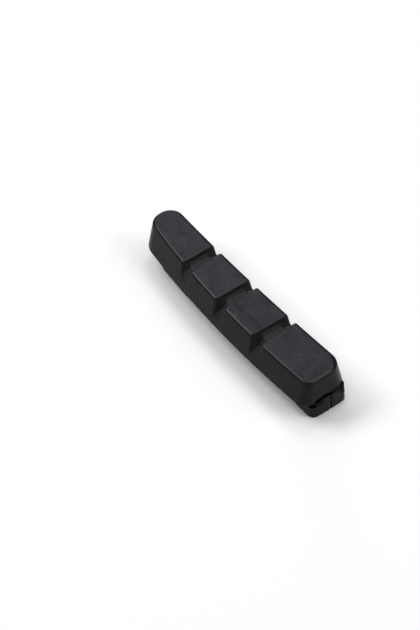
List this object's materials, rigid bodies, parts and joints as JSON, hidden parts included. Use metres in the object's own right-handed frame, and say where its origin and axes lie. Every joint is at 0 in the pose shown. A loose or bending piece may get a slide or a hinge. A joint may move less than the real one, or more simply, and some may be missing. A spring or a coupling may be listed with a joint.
{
  "type": "bicycle rim brake pad insert",
  "caption": "Moulded rubber brake pad insert: bowed, cross-grooved friction block on a T-shaped slide-in rail with a notch for a retaining pin.",
  "frame": {"origin": "on the flat back of the rail, on the rail's middle line, halfway along the part", "axes": "+X along the rail towards the end with the pin notch, +Z out of the friction face, -Y towards the bowed side"},
  "size_m": [0.0704, 0.0147, 0.0128],
  "materials": {
    "brake_rubber": "matte moulded black rubber"
  },
  "bodies": {
    "root": {"brake_pad": "brake_rubber"}
  },
  "joints": []
}
